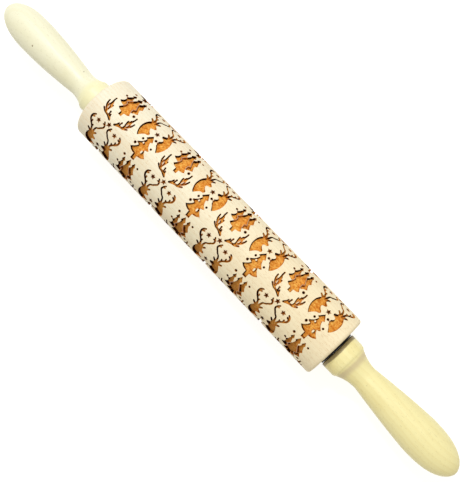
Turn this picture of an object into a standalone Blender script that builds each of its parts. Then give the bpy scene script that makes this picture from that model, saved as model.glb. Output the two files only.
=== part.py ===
"""Embossed rolling pin: a wooden barrel that turns on a steel axle between two handles.

The pin lies along X and its barrel rests on Z = 0. The origin is under the middle of the barrel.
Each turned piece is an outline of (x, radius) points, spun about the pin's axis. The barrel's carved
pattern repeats along it and round it, and holds trees and pairs of reindeer that face each other.
"""
import math

import bmesh
import bpy
from mathutils import Matrix

# All sizes are in metres.

# Barrel
BARREL_DIAMETER = 0.048
BARREL_LENGTH = 0.2258
BARREL_EDGE_RADIUS = 0.0022
BARREL_BORE_CLEARANCE = 0.0009

# Carved pattern: columns side by side along the barrel, and every second one is turned half a repeat
COLUMN_PITCH = 0.02649
COLUMN_SHIFT = 0.00099
PATTERN_MARGIN = 0.004
PATTERN_TURN = math.radians(-14)
POCKET_DEPTH = 0.0017

# Axle
AXLE_DIAMETER = 0.008
AXLE_GRIP_LENGTH = 0.045
AXLE_CHAMFER = 0.0006

# Bushes
BUSH_WALL = 0.0027
BUSH_LENGTH = 0.018
BUSH_FLANGE_WIDTH = 0.003
BUSH_FLANGE_THICKNESS = 0.0015
BUSH_CHAMFER = 0.0004

# Thrust washers
WASHER_WIDTH = 0.0087
WASHER_THICKNESS = 0.001

# Clearances
RUNNING_CLEARANCE = 0.0003
SEAT_CLEARANCE = 0.0003
THRUST_CLEARANCE = 0.0003
FLOAT_TRAVEL = 0.0004
FLOAT_CLEARANCE = 0.0001
SOCKET_END_CLEARANCE = 0.0006

# Right handle: places are measured from its inner face
RIGHT_HANDLE_LENGTH = 0.1055
RIGHT_COLLAR_DIAMETER = 0.027
RIGHT_COLLAR_LENGTH = 0.011
RIGHT_NECK_PLACE = 0.0252
RIGHT_NECK_DIAMETER = 0.0177
RIGHT_GRIP_PLACE = 0.0728
RIGHT_GRIP_DIAMETER = 0.0275
RIGHT_SWELL_SHARE = 0.4

# Left handle, turned a little shorter and slimmer
LEFT_HANDLE_LENGTH = 0.0988
LEFT_COLLAR_DIAMETER = 0.0248
LEFT_COLLAR_LENGTH = 0.0097
LEFT_NECK_PLACE = 0.0202
LEFT_NECK_DIAMETER = 0.0186
LEFT_GRIP_PLACE = 0.0685
LEFT_GRIP_DIAMETER = 0.0262
LEFT_SWELL_SHARE = 0.95

# Both handles
COLLAR_CHAMFER = 0.0005
COLLAR_ROUND_LENGTH = 0.0024
COLLAR_ROUND_DROP = 0.0009
CAP_POWER = 2.8
CAP_ROOT = 0.55

# Counts of sides round a piece, and of steps along a curve
BARREL_SIDES = 40
POCKET_BENDS = 20
PATTERN_REPEATS = 2
HANDLE_SIDES = 40
SMALL_SIDES = 32
EDGE_STEPS = 4
COLLAR_STEPS = 3
COVE_STEPS = 6
SWELL_STEPS = 8
CAP_STEPS = 10

# Outlines of the largest carved pockets. Each place is a share of the columns' pitch, from a column's
# middle, and a share of the angle that one repeat takes round the barrel.
# Trees are given by their right half from tip to foot, and a reindeer by the left one of its pair.
TREE_SHARES = [
    (0, -0.284),
    (0.20, -0.414),
    (0.10, -0.425),
    (0.25, -0.492),
    (0.06, -0.512),
    (0.06, -0.566),
]
TREE_CLUSTER_SHARES = [
    (0, 0.422),
    (0.09, 0.376),
    (0.16, 0.413),
    (0.27, 0.309),
    (0.21, 0.292),
    (0.30, 0.239),
    (0.15, 0.210),
    (0.19, 0.176),
    (0.05, 0.161),
    (0.05, 0.123),
]
REINDEER_SHARES = [
    (-0.33, -0.381),
    (-0.12, -0.316),
    (-0.22, -0.268),
    (-0.11, -0.226),
    (-0.23, -0.170),
    (-0.07, -0.060),
    (-0.29, -0.155),
    (-0.50, -0.060),
    (-0.35, -0.180),
    (-0.45, -0.279),
    (-0.41, -0.343),
]

MERGE_DISTANCE = 0.00001
SHARP_ANGLE = math.radians(35)

# Radii that several pieces share
AXLE_RADIUS = AXLE_DIAMETER / 2
RUNNING_RADIUS = AXLE_RADIUS + RUNNING_CLEARANCE
SOCKET_RADIUS = AXLE_RADIUS + SEAT_CLEARANCE
SLEEVE_RADIUS = RUNNING_RADIUS + BUSH_WALL
FLANGE_RADIUS = SLEEVE_RADIUS + BUSH_FLANGE_WIDTH

# Places along the axis
BARREL_END = BARREL_LENGTH / 2
WASHER_PLACE = BARREL_END + THRUST_CLEARANCE
HANDLE_PLACE = WASHER_PLACE + WASHER_THICKNESS + FLOAT_TRAVEL + FLOAT_CLEARANCE
AXLE_LENGTH = 2 * (HANDLE_PLACE + AXLE_GRIP_LENGTH)

# The barrel rests on one of its narrow flats, so its axis is the flats' distance above the table
AXIS_HEIGHT = BARREL_DIAMETER / 2 * math.cos(math.pi / BARREL_SIDES)


def clear_scene():
    """Remove whatever the file opened with."""
    for thing in list(bpy.data.objects):
        bpy.data.objects.remove(thing, do_unlink=True)


def finish(name, colour, roughness, metallic=0.0):
    """A plain material in the piece's own colour."""
    material = bpy.data.materials.new(name)
    material.use_nodes = True
    shader = material.node_tree.nodes["Principled BSDF"]
    shader.inputs["Base Color"].default_value = (*colour, 1.0)
    shader.inputs["Roughness"].default_value = roughness
    shader.inputs["Metallic"].default_value = metallic
    return material


def spun(name, outline, sides, material):
    """Spin an outline about X into one closed body, with a flat side facing straight down.

    An outline that starts and ends on the axis stays open there, and any other is a ring.
    """
    half_turn = math.pi / sides
    shape = bmesh.new()
    verts = [
        shape.verts.new((x, radius * math.sin(half_turn), radius * math.cos(half_turn)))
        for x, radius in outline
    ]
    edges = [shape.edges.new(pair) for pair in zip(verts, verts[1:])]
    if outline[0][1] > 0:
        edges.append(shape.edges.new((verts[-1], verts[0])))
    bmesh.ops.spin(
        shape,
        geom=verts + edges,
        cent=(0, 0, 0),
        axis=(1, 0, 0),
        dvec=(0, 0, 0),
        angle=2 * math.pi,
        space=Matrix.Identity(4),
        steps=sides,
        use_merge=True,
        use_normal_flip=False,
        use_duplicate=False,
    )
    bmesh.ops.remove_doubles(shape, verts=shape.verts, dist=MERGE_DISTANCE)
    bmesh.ops.recalc_face_normals(shape, faces=shape.faces)
    mesh = bpy.data.meshes.new(name)
    shape.to_mesh(mesh)
    shape.free()
    mesh.shade_smooth()
    mesh.set_sharp_from_angle(angle=SHARP_ANGLE)
    mesh.materials.append(material)
    return mesh


def mirrored(outline):
    return [(-x, y) for x, y in reversed(outline)]


def pocket_outlines():
    """The pockets of one repeat, as outlines of (distance from the column's middle, angle) places."""
    outlines = [half + mirrored(half[1:]) for half in (TREE_SHARES, TREE_CLUSTER_SHARES)]
    outlines += [REINDEER_SHARES, mirrored(REINDEER_SHARES)]
    repeat = 2 * math.pi / PATTERN_REPEATS
    return [[(x * COLUMN_PITCH, y * repeat) for x, y in outline] for outline in outlines]


def pattern_places():
    """Each repeat's place along the barrel and turn round it, for as many columns as fit."""
    columns = int((BARREL_LENGTH - 2 * PATTERN_MARGIN) / COLUMN_PITCH)
    repeat = 2 * math.pi / PATTERN_REPEATS
    places = []
    for column in range(columns):
        x = (column - (columns - 1) / 2) * COLUMN_PITCH + COLUMN_SHIFT
        turn = PATTERN_TURN + repeat / 2 * (column % 2)
        places += [(x, turn + repeat * step) for step in range(PATTERN_REPEATS)]
    return places


def add_pocket(shape, outline, x, turn):
    """Wrap a prism with the outline round the barrel, from the pocket's floor to over the surface.

    It is drawn flat first, as (x, angle, radius), and bends where flat sides of the barrel have
    their middle.
    """
    floor = AXIS_HEIGHT - POCKET_DEPTH
    top = BARREL_DIAMETER / 2 + POCKET_DEPTH
    verts = [shape.verts.new((x + along, turn + angle, floor)) for along, angle in outline]
    sheet = verts + [shape.faces.new(verts)]
    sheet += sheet[-1].edges
    bend = 2 * math.pi / POCKET_BENDS
    angles = [vert.co.y for vert in verts]
    for step in range(math.ceil(min(angles) / bend), math.floor(max(angles) / bend) + 1):
        place = (0, step * bend, 0)
        sheet = bmesh.ops.bisect_plane(shape, geom=sheet, plane_co=place, plane_no=(0, 1, 0))["geom"]
    faces = [part for part in sheet if isinstance(part, bmesh.types.BMFace)]
    raised = bmesh.ops.extrude_face_region(shape, geom=faces)["geom"]
    raised = {vert for vert in raised if isinstance(vert, bmesh.types.BMVert)}
    for vert in raised:
        vert.co.z = top
    for vert in raised.union(*(face.verts for face in faces)):
        _, angle, radius = vert.co
        vert.co.y = radius * math.sin(angle)
        vert.co.z = radius * math.cos(angle)


def pocket_cutter():
    """A guide that fills all the pockets."""
    shape = bmesh.new()
    for x, turn in pattern_places():
        for outline in pocket_outlines():
            add_pocket(shape, outline, x, turn)
    bmesh.ops.recalc_face_normals(shape, faces=shape.faces)
    mesh = bpy.data.meshes.new("pocket_cutter")
    shape.to_mesh(mesh)
    shape.free()
    return mesh


def carve(piece, cutter):
    """Cut a guide out of a piece, and keep the guide out of sight."""
    cutter.hide_render = True
    cutter.display_type = "WIRE"
    cut = piece.modifiers.new(cutter.name, "BOOLEAN")
    cut.operation = "DIFFERENCE"
    cut.solver = "EXACT"
    cut.object = cutter


def barrel_outline():
    """A round bar with rounded ends, bored for the axle and cut back for each bush."""
    radius = BARREL_DIAMETER / 2
    bore = AXLE_RADIUS + BARREL_BORE_CLEARANCE
    sleeve_seat = SLEEVE_RADIUS + SEAT_CLEARANCE
    flange_seat = FLANGE_RADIUS + SEAT_CLEARANCE
    flange_floor = BARREL_END - BUSH_FLANGE_THICKNESS - SEAT_CLEARANCE
    sleeve_floor = BARREL_END - BUSH_LENGTH - SEAT_CLEARANCE
    right = [
        (sleeve_floor, bore),
        (sleeve_floor, sleeve_seat),
        (flange_floor, sleeve_seat),
        (flange_floor, flange_seat),
        (BARREL_END, flange_seat),
    ]
    for step in range(EDGE_STEPS + 1):
        turn = step / EDGE_STEPS * math.pi / 2
        x = BARREL_END - BARREL_EDGE_RADIUS * (1 - math.cos(turn))
        right.append((x, radius - BARREL_EDGE_RADIUS * (1 - math.sin(turn))))
    left = [(-x, r) for x, r in reversed(right)]
    return right + left


def bush_outline():
    """A flanged sleeve, with its flange's outer face at x = 0 and its sleeve towards -X."""
    return [
        (0, RUNNING_RADIUS + BUSH_CHAMFER),
        (0, FLANGE_RADIUS),
        (-BUSH_FLANGE_THICKNESS, FLANGE_RADIUS),
        (-BUSH_FLANGE_THICKNESS, SLEEVE_RADIUS),
        (BUSH_CHAMFER - BUSH_LENGTH, SLEEVE_RADIUS),
        (-BUSH_LENGTH, SLEEVE_RADIUS - BUSH_CHAMFER),
        (-BUSH_LENGTH, RUNNING_RADIUS),
        (-BUSH_CHAMFER, RUNNING_RADIUS),
    ]


def washer_outline():
    """A flat ring, with its inner face at x = 0."""
    outer = RUNNING_RADIUS + WASHER_WIDTH
    return [
        (0, RUNNING_RADIUS),
        (0, outer),
        (WASHER_THICKNESS, outer),
        (WASHER_THICKNESS, RUNNING_RADIUS),
    ]


def axle_outline():
    """A plain rod with chamfered ends, held in both handles."""
    end = AXLE_LENGTH / 2
    right = [
        (end - AXLE_CHAMFER, AXLE_RADIUS),
        (end, AXLE_RADIUS - AXLE_CHAMFER),
        (end, 0),
    ]
    left = [(-x, r) for x, r in reversed(right)]
    return left + right


def handle_outline(length, collar, collar_end, neck, neck_place, grip, grip_place, swell_share):
    """A handle from the bottom of its socket round to its tip.

    It has a plain collar, a cove down to the neck, a swelling grip and a full round end.
    """
    collar_radius = collar / 2
    neck_radius = neck / 2
    grip_radius = grip / 2
    socket_depth = AXLE_GRIP_LENGTH + SOCKET_END_CLEARANCE
    cove_radius = collar_radius - COLLAR_ROUND_DROP
    points = [
        (socket_depth, 0),
        (socket_depth, SOCKET_RADIUS),
        (0, SOCKET_RADIUS),
        (0, collar_radius - COLLAR_CHAMFER),
        (COLLAR_CHAMFER, collar_radius),
    ]
    for step in range(COLLAR_STEPS):
        turn = step / COLLAR_STEPS * math.pi / 2
        x = collar_end - COLLAR_ROUND_LENGTH * (1 - math.sin(turn))
        points.append((x, cove_radius + COLLAR_ROUND_DROP * math.cos(turn)))
    for step in range(COVE_STEPS):
        along = step / COVE_STEPS
        x = collar_end + (neck_place - collar_end) * along
        points.append((x, neck_radius + (cove_radius - neck_radius) * (1 - along) ** 2))
    for step in range(SWELL_STEPS):
        along = step / SWELL_STEPS
        rise = (1 - swell_share) * along + swell_share * math.sin(along * math.pi / 2)
        x = neck_place + (grip_place - neck_place) * along
        points.append((x, neck_radius + (grip_radius - neck_radius) * rise))
    for step in range(CAP_STEPS):
        along = math.sin(step / CAP_STEPS * math.pi / 2)
        x = grip_place + (length - grip_place) * along
        points.append((x, grip_radius * (1 - along ** CAP_POWER) ** CAP_ROOT))
    points.append((length, 0))
    return points


def left_handle_outline():
    return handle_outline(
        LEFT_HANDLE_LENGTH,
        LEFT_COLLAR_DIAMETER,
        LEFT_COLLAR_LENGTH,
        LEFT_NECK_DIAMETER,
        LEFT_NECK_PLACE,
        LEFT_GRIP_DIAMETER,
        LEFT_GRIP_PLACE,
        LEFT_SWELL_SHARE,
    )


def right_handle_outline():
    return handle_outline(
        RIGHT_HANDLE_LENGTH,
        RIGHT_COLLAR_DIAMETER,
        RIGHT_COLLAR_LENGTH,
        RIGHT_NECK_DIAMETER,
        RIGHT_NECK_PLACE,
        RIGHT_GRIP_DIAMETER,
        RIGHT_GRIP_PLACE,
        RIGHT_SWELL_SHARE,
    )


def axis_point(name, parent=None):
    """An empty on the pin's axis that carries the pieces of one body."""
    point = bpy.data.objects.new(name, None)
    bpy.context.scene.collection.objects.link(point)
    point.parent = parent
    return point


def place(name, mesh, carrier, x, faces_left=False):
    """Put a piece on the axis, turned end for end where it faces left."""
    piece = bpy.data.objects.new(name, mesh)
    bpy.context.scene.collection.objects.link(piece)
    piece.parent = carrier
    piece.location.x = -x if faces_left else x
    piece.rotation_euler.z = math.pi if faces_left else 0
    return piece


def build():
    clear_scene()
    barrel_wood = finish("barrel_wood", (0.88, 0.70, 0.48), 0.55)
    handle_wood = finish("handle_wood", (0.90, 0.80, 0.48), 0.5)
    nylon = finish("nylon", (0.86, 0.85, 0.80), 0.45)
    steel = finish("steel", (0.60, 0.60, 0.60), 0.3, 1.0)
    black_nylon = finish("black_nylon", (0.03, 0.03, 0.03), 0.5)

    handles = axis_point("handles_axis")
    handles.location.z = AXIS_HEIGHT
    float_carrier = axis_point("float_axis", handles)
    barrel_carrier = axis_point("barrel_axis", float_carrier)

    left_handle = spun("left_handle", left_handle_outline(), HANDLE_SIDES, handle_wood)
    right_handle = spun("right_handle", right_handle_outline(), HANDLE_SIDES, handle_wood)
    axle = spun("axle", axle_outline(), SMALL_SIDES, steel)
    washer = spun("washer", washer_outline(), SMALL_SIDES, black_nylon)
    bush = spun("bush", bush_outline(), SMALL_SIDES, nylon)
    barrel = spun("barrel", barrel_outline(), BARREL_SIDES, barrel_wood)

    place("left_handle", left_handle, handles, HANDLE_PLACE, faces_left=True)
    place("right_handle", right_handle, handles, HANDLE_PLACE)
    place("axle", axle, handles, 0)
    place("left_washer", washer, float_carrier, WASHER_PLACE, faces_left=True)
    place("right_washer", washer, float_carrier, WASHER_PLACE)
    place("left_bush", bush, barrel_carrier, BARREL_END, faces_left=True)
    place("right_bush", bush, barrel_carrier, BARREL_END)
    barrel_piece = place("barrel", barrel, barrel_carrier, 0)
    carve(barrel_piece, place("pocket_cutter", pocket_cutter(), barrel_carrier, 0))


build()
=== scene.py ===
"""Embossed rolling pin: the looks of a turned pin whose barrel carries a carved winter pattern.

The file is laid out as an add-on. Its sidebar panel holds the sizes and colours, and one operator
makes each piece or group of pieces. Run as a script, it makes all of them in order.

The pin lies along X. A place on the barrel is given by x, along the pin, and by its angle round the
pin from straight up towards +Y. The pattern is drawn flat, in millimetres, on a sheet that wraps
round the barrel: its first direction runs along X and its second one round the barrel.
"""
import math

import bmesh
import bpy
import numpy as np
from bpy.props import FloatProperty, FloatVectorProperty, PointerProperty
from mathutils import Matrix, Vector
from mathutils.geometry import delaunay_2d_cdt


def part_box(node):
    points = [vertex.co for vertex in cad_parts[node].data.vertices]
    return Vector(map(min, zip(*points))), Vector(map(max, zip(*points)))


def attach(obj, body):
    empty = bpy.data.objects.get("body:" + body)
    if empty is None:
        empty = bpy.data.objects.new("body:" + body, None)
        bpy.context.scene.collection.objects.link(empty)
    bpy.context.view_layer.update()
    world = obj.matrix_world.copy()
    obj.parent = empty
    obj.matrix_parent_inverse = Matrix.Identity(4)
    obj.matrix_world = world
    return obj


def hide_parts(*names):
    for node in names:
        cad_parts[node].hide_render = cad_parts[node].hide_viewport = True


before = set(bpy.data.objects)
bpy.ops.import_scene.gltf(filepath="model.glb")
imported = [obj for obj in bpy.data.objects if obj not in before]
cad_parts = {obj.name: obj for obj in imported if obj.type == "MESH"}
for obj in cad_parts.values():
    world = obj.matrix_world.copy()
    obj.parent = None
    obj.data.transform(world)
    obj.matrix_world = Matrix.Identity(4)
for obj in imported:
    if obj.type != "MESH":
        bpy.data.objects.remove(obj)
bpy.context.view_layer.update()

bl_info = {
    "name": "Embossed rolling pin",
    "version": (1, 0, 0),
    "blender": (4, 5, 0),
    "location": "3D View > Sidebar > Rolling pin",
    "description": "Makes a turned wooden rolling pin with a carved winter pattern",
    "category": "Object",
}

MM = 0.001
WELD = 0.002 * MM
TURN = 2 * math.pi

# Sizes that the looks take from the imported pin, in metres
BARREL_LOW, BARREL_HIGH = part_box("barrel")
AXIS_HEIGHT = (BARREL_LOW.z + BARREL_HIGH.z) / 2
BARREL_RADIUS = (BARREL_HIGH.z - BARREL_LOW.z) / 2
BARREL_END = BARREL_HIGH.x
AXLE_LOW, AXLE_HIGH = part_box("axle")
AXLE_RADIUS = (AXLE_HIGH.z - AXLE_LOW.z) / 2
AXLE_END = AXLE_HIGH.x
BUSH_LOW, BUSH_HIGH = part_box("right_bush")
FLANGE_RADIUS = (BUSH_HIGH.z - BUSH_LOW.z) / 2
BUSH_LENGTH = BUSH_HIGH.x - BUSH_LOW.x
WASHER_LOW, WASHER_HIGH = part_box("right_washer")
WASHER_RADIUS = (WASHER_HIGH.z - WASHER_LOW.z) / 2
RIGHT_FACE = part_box("right_handle")[0].x
RIGHT_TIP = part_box("right_handle")[1].x
LEFT_FACE = -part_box("left_handle")[1].x
LEFT_TIP = -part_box("left_handle")[0].x


def shade(red, green, blue):
    """A colour in 0 to 255 screen values, as the linear one that shaders take."""
    levels = [value / 255 for value in (red, green, blue)]
    return tuple(v / 12.92 if v <= 0.04045 else ((v + 0.055) / 1.055) ** 2.4 for v in levels)


def length(name, description, default):
    return FloatProperty(name=name, description=description, default=default, min=0, unit="LENGTH")


def angle(name, description, degrees):
    return FloatProperty(
        name=name, description=description, default=math.radians(degrees), subtype="ANGLE"
    )


def number(name, description, default):
    return FloatProperty(name=name, description=description, default=default, min=0)


def colour(name, description, default):
    return FloatVectorProperty(
        name=name, description=description, default=default, size=3, min=0, max=1, subtype="COLOR"
    )


class BarrelSettings(bpy.types.PropertyGroup):
    """Sizes and colours of the carved barrel."""

    pocket_depth: length("Pocket depth", "How deep the pattern is carved", 1.7 * MM)
    rim_break: length("Rim break", "Width of the worn edge round each pocket", 0.07 * MM)
    wall_draft: length("Wall draft", "How far a pocket's wall leans inwards", 0.16 * MM)
    column_pitch: length("Column pitch", "Distance between the pattern's columns", 26.49 * MM)
    column_shift: length("Column shift", "How far the columns sit to the right", 0.99 * MM)
    pattern_turn: angle("Pattern turn", "Turn of the first column round the pin", -14)
    edge_radius: length("Edge radius", "Rounding of the barrel's ends", 2.2 * MM)
    seat_gap: length("Seat gap", "Room between the barrel and its bushes", 0.3 * MM)
    bore_radius: length("Bore radius", "Radius of the hole between the bushes", 4.9 * MM)
    wood: colour("Wood", "Sanded beech", shade(254, 241, 207))
    left_end: colour("Left end", "The beech at the left end", shade(248, 243, 224))
    ring: colour("Rings", "Darker lines of the year rings", shade(240, 216, 178))
    fleck: colour("Flecks", "Short dashes in the beech", shade(214, 178, 134))
    toasted: colour("Toasted floor", "Lighter parts of the pockets' floors", shade(250, 180, 84))
    burnt: colour("Burnt floor", "Darker parts of the pockets' floors", shade(214, 126, 40))
    # Painted shade: floors on the side away from the key lamp are browner
    brown: colour("Brown floor", "Floors on the side that was burnt longer", shade(176, 122, 62))
    gold: colour("Golden floor", "Small bright patches of the floors", shade(254, 210, 112))
    streak: colour("Streaked floor", "Small dark patches of the floors", shade(190, 104, 30))
    wall: colour("Pocket wall", "Walls that the burner barely marked", shade(218, 150, 62))
    # Umber and char also paint the shadow beside the walls that face the right end, away from the key
    # lamp
    umber: colour("Umber", "Narrow cuts and scorched ridges", shade(160, 84, 14))
    char: colour("Char", "Walls and corners that the burner blackened", shade(42, 12, 0))


SIDES = ("left", "right")

# What each handle has: the kind of value, its name, what it says, and its value left and right
HANDLE_FIELDS = {
    "collar_radius": (length, "collar", "Radius of the {} collar", 12.4 * MM, 13.5 * MM),
    "collar_length": (length, "collar end", "Where the {} collar ends", 9.7 * MM, 11.0 * MM),
    "neck_radius": (length, "neck", "Radius of the {} neck", 9.3 * MM, 8.85 * MM),
    "neck_place": (length, "neck place", "Where the {} neck is", 20.2 * MM, 25.2 * MM),
    "grip_radius": (length, "grip", "Radius of the {} grip", 13.1 * MM, 13.75 * MM),
    "grip_place": (length, "grip place", "Where the {} grip is widest", 68.5 * MM, 72.8 * MM),
    "swell": (number, "swell", "How round the {} grip swells", 0.95, 0.4),
    "wood": (colour, "wood", "Pale waxed wood of the {} handle",
             shade(248, 247, 222), shade(254, 245, 186)),
    "streak": (colour, "streaks", "Darker streaks in the {} handle",
               shade(236, 232, 192), shade(238, 221, 148)),
    # The band is painted shadow that the barrel's end casts on the collar
    "band": (length, "band", "Width of the band on the {} collar", 0.8 * MM, 2.3 * MM),
    # On the right this tone is painted shade in the hollow behind the collar, which faces away from the
    # key lamp; on the left it is a yellower tone over the collar
    "cove": (colour, "cove", "Another tone of the wood near the {} collar",
             shade(248, 244, 194), shade(206, 186, 152)),
    "cove_start": (length, "cove start", "Where the tone near the {} collar starts", 0, 12.4 * MM),
    "cove_end": (length, "cove end", "Where the tone near the {} collar ends", 12.5 * MM, 16.2 * MM),
}


class HandleSettings(bpy.types.PropertyGroup):
    """Sizes and colours of the two turned handles."""

    collar_chamfer: length("Collar chamfer", "Broken edge of each collar's face", 0.5 * MM)
    collar_round: length("Collar round", "Length of the round behind a collar", 2.4 * MM)
    collar_drop: length("Collar drop", "Depth of the round behind a collar", 0.9 * MM)
    socket_gap: length("Socket gap", "Room between a socket and the axle", 0.3 * MM)
    socket_depth: length("Socket depth", "Depth of each handle's socket", 45.6 * MM)
    mark: colour("Marks", "Small dark flecks", shade(120, 96, 48))
    # Painted shadow: the band stands for the barrel end's shade on each collar beside the washer
    band: colour("Collar band", "Turned band beside each washer", shade(158, 142, 96))


HandleSettings.__annotations__.update({
    f"{side}_{field}": kind(f"{side.title()} {label}", about.format(side), values[place])
    for place, side in enumerate(SIDES)
    for field, (kind, label, about, *values) in HANDLE_FIELDS.items()
})


class FittingSettings(bpy.types.PropertyGroup):
    """Sizes and colours of the axle, the bushes and the washers."""

    running_gap: length("Running gap", "Room between the axle and what runs on it", 0.3 * MM)
    bush_wall: length("Bush wall", "Wall of each bush's sleeve", 2.7 * MM)
    flange_thickness: length("Flange thickness", "Thickness of each bush's flange", 1.5 * MM)
    chamfer: length("Chamfer", "Broken edges of the small turned pieces", 0.4 * MM)
    washer_edge: length("Washer edge", "Rounding of the punched washers", 0.15 * MM)
    steel: colour("Steel", "Drawn rod", shade(172, 172, 170))
    nylon: colour("Nylon", "Natural moulded nylon", shade(228, 225, 214))
    black_nylon: colour("Black nylon", "Punched nylon washers", shade(10, 9, 8))


class StageSettings(bpy.types.PropertyGroup):
    """The floor, the lamps and the camera."""

    floor_size: length("Floor size", "Width of the plain floor", 6)
    camera_place: length("Camera place", "The camera's distance towards the right", 0.0962)
    camera_height: length("Camera height", "The camera's height over the floor", 0.56)
    camera_tilt: angle("Camera tilt", "Tilt of the camera back towards the middle", 8.43)
    camera_turn: angle("Camera turn", "Turn of the picture about its middle", 46.18)
    camera_lens: number("Camera lens", "Focal length in millimetres", 61.19)
    key_power: number("Key power", "Watts of the lamp over the left end", 8.5)
    sky_strength: number("Sky strength", "Even light from all round", 0.57)


# Drawing on the sheet, in millimetres

LINE_STEP = 0.7
BURN_WIDTH = 0.25
SIDES_ROUND = 120
ROWS = SIDES_ROUND // 2
SHEET_RADIUS = BARREL_RADIUS / MM
REPEAT = math.pi * SHEET_RADIUS


def smooth(points):
    """Points along a smooth curve through the given ones, without the last one."""
    points = [Vector(point) for point in points]
    before = [points[0]] + points[:-2]
    after = points[2:] + [points[-1]]
    found = []
    for first, start, end, last in zip(before, points, points[1:], after):
        steps = max(1, round((end - start).length / LINE_STEP))
        for step in range(steps):
            t = step / steps
            bend = (2 * first - 5 * start + 4 * end - last) * t ** 2
            twist = (3 * start - first - 3 * end + last) * t ** 3
            found.append((2 * start + (end - first) * t + bend + twist) / 2)
    return found


def joined(runs, following):
    """Points along smooth runs, each of which ends where the one that follows it starts."""
    return [point for run, after in zip(runs, following) for point in smooth(run + [after[0]])]


def outline(*runs):
    """A closed outline of smooth runs. Each starts at a corner and ends at the next one's start."""
    return joined(runs, runs[1:] + runs[:1])


def mirrored(shape):
    return [Vector((-point.x, point.y)) for point in reversed(shape)]


def symmetric(middle, *runs):
    """A closed outline from the runs of its right half, from its top to its bottom."""
    half = joined(runs, runs[1:]) + [Vector(runs[-1][0])]
    return [point + Vector((middle, 0)) for point in half + mirrored(half[1:-1])]


def oval(x, y, width, height):
    sides = 12
    turns = [TURN * side / sides for side in range(sides)]
    return [Vector((x + width / 2 * math.cos(a), y + height / 2 * math.sin(a))) for a in turns]


def dot(x, y, width):
    return oval(x, y, width, width)


def star(x, y, radius, inner_share=0.46):
    """A five-pointed star with one point up."""
    found = []
    corners = 10
    for corner in range(corners):
        reach = radius * (inner_share if corner % 2 else 1)
        a = math.pi / 2 + TURN * corner / corners
        found.append(Vector((x + reach * math.cos(a), y + reach * math.sin(a))))
    return found


def stroke(*points):
    """The outline of a stroke with round ends through (x, y, width) points, as the burner cuts it."""
    path = smooth(points) + [Vector(points[-1])]
    right, left = [], []
    for place, point in enumerate(path):
        ahead = path[min(place + 1, len(path) - 1)] - path[max(place - 1, 0)]
        side = Vector((-ahead.y, ahead.x)).normalized() * (point.z + BURN_WIDTH) / 2
        right.append(point.xy - side)
        left.append(point.xy + side)
    return right + cap(path[-1], right[-1]) + left[::-1] + cap(path[0], left[0])


def cap(centre, start, steps=4):
    """The points of the half circle that ends a stroke, without its first and last one."""
    arm = start - centre.xy
    turns = [math.pi * step / steps for step in range(1, steps)]
    return [centre.xy + Matrix.Rotation(a, 2) @ arm for a in turns]


def grown(shape, distance):
    """An outline moved outwards all round."""
    found = []
    for before, point, after in zip(shape[-1:] + shape[:-1], shape, shape[1:] + shape[:1]):
        first = (point - before).normalized()
        second = (after - point).normalized()
        outwards = Vector((first.y + second.y, -first.x - second.x)).normalized()
        lean = max(outwards.dot(Vector((second.y, -second.x))), 0.5)
        found.append(point + outwards * distance / lean)
    return found


def area(shape):
    """The area of an outline, less than zero where it runs clockwise."""
    return sum(a.x * b.y - a.y * b.x for a, b in zip(shape, shape[1:] + shape[:1])) / 2


# The motifs. Each is a list of (cut, outline), laid over each other in order.

TREE_RIDGE = 0.32


def single_tree():
    tree = symmetric(
        0,
        [(0, -21.4)],
        [(2.9, -25.5)],
        [(1.5, -26.2), (2.4, -28.4), (3.5, -29.8)],
        [(5.2, -31.2), (4.4, -32.0)],
        [(2.9, -32.3), (3.6, -33.8), (5.0, -35.3)],
        [(6.7, -36.7), (4.8, -38.1), (2.9, -38.7)],
        [(1.55, -38.8)],
        [(1.55, -42.6)],
        [(0, -42.6)],
    )
    return [
        (True, tree),
        (False, oval(-1.55, -29.4, 1.1, 1.3)),
        (False, oval(1.9, -34.6, 1.2, 2.4)),
        (True, dot(3.1, -22.7, 1.9)),
        (True, dot(-3.9, -27.6, 1.75)),
        (True, dot(5.2, -29.2, 1.65)),
        (True, dot(-5.8, -33.0, 2.0)),
    ]


def tree_cluster():
    left = outline(
        [(-4.3, 30.3)],
        [(-5.9, 27.5)],
        [(-5.0, 26.9), (-5.6, 25.0), (-6.2, 23.7)],
        [(-7.1, 22.5)],
        [(-6.1, 21.5), (-6.3, 19.8), (-7.0, 18.6)],
        [(-8.1, 17.5), (-6.8, 16.7), (-5.2, 16.2)],
        [(-3.4, 15.9)],
        [(-1.5, 18.0)],
        [(-0.6, 22.4)],
        [(-2.2, 22.6), (-2.9, 24.2), (-3.3, 25.7)],
        [(-3.7, 27.0)],
        [(-2.9, 27.7)],
    )
    right = outline(
        [(4.2, 31.9)],
        [(2.7, 29.2)],
        [(3.3, 28.6), (2.8, 27.3)],
        [(2.0, 26.3)],
        [(0.8, 24.0)],
        [(0.8, 17.0)],
        [(3.4, 15.8)],
        [(4.7, 16.2), (5.4, 17.2), (6.6, 17.7)],
        [(7.8, 18.4), (6.8, 20.0), (6.1, 21.4)],
        [(5.9, 22.4)],
        [(7.1, 23.9), (6.0, 26.0), (5.4, 27.6)],
        [(5.0, 28.5)],
        [(5.7, 29.3)],
    )
    centre = symmetric(
        0.05,
        [(0, 31.8)],
        [(2.0, 28.3)],
        [(1.25, 27.2), (1.7, 25.2), (2.8, 22.6)],
        [(4.15, 20.1)],
        [(2.8, 19.1), (3.0, 16.9), (3.9, 15.2)],
        [(5.0, 13.4), (3.6, 12.5)],
        [(1.35, 12.1)],
        [(1.35, 9.3)],
        [(0, 9.3)],
    )[::-1]
    return [
        (True, left),
        (True, right),
        (False, grown(centre, TREE_RIDGE)),
        (True, centre),
        (True, dot(-6.0, 31.4, 2.0)),
        (True, dot(-8.0, 23.5, 1.75)),
        (True, dot(7.4, 30.2, 1.65)),
        (True, dot(7.2, 15.6, 2.1)),
    ]


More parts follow.
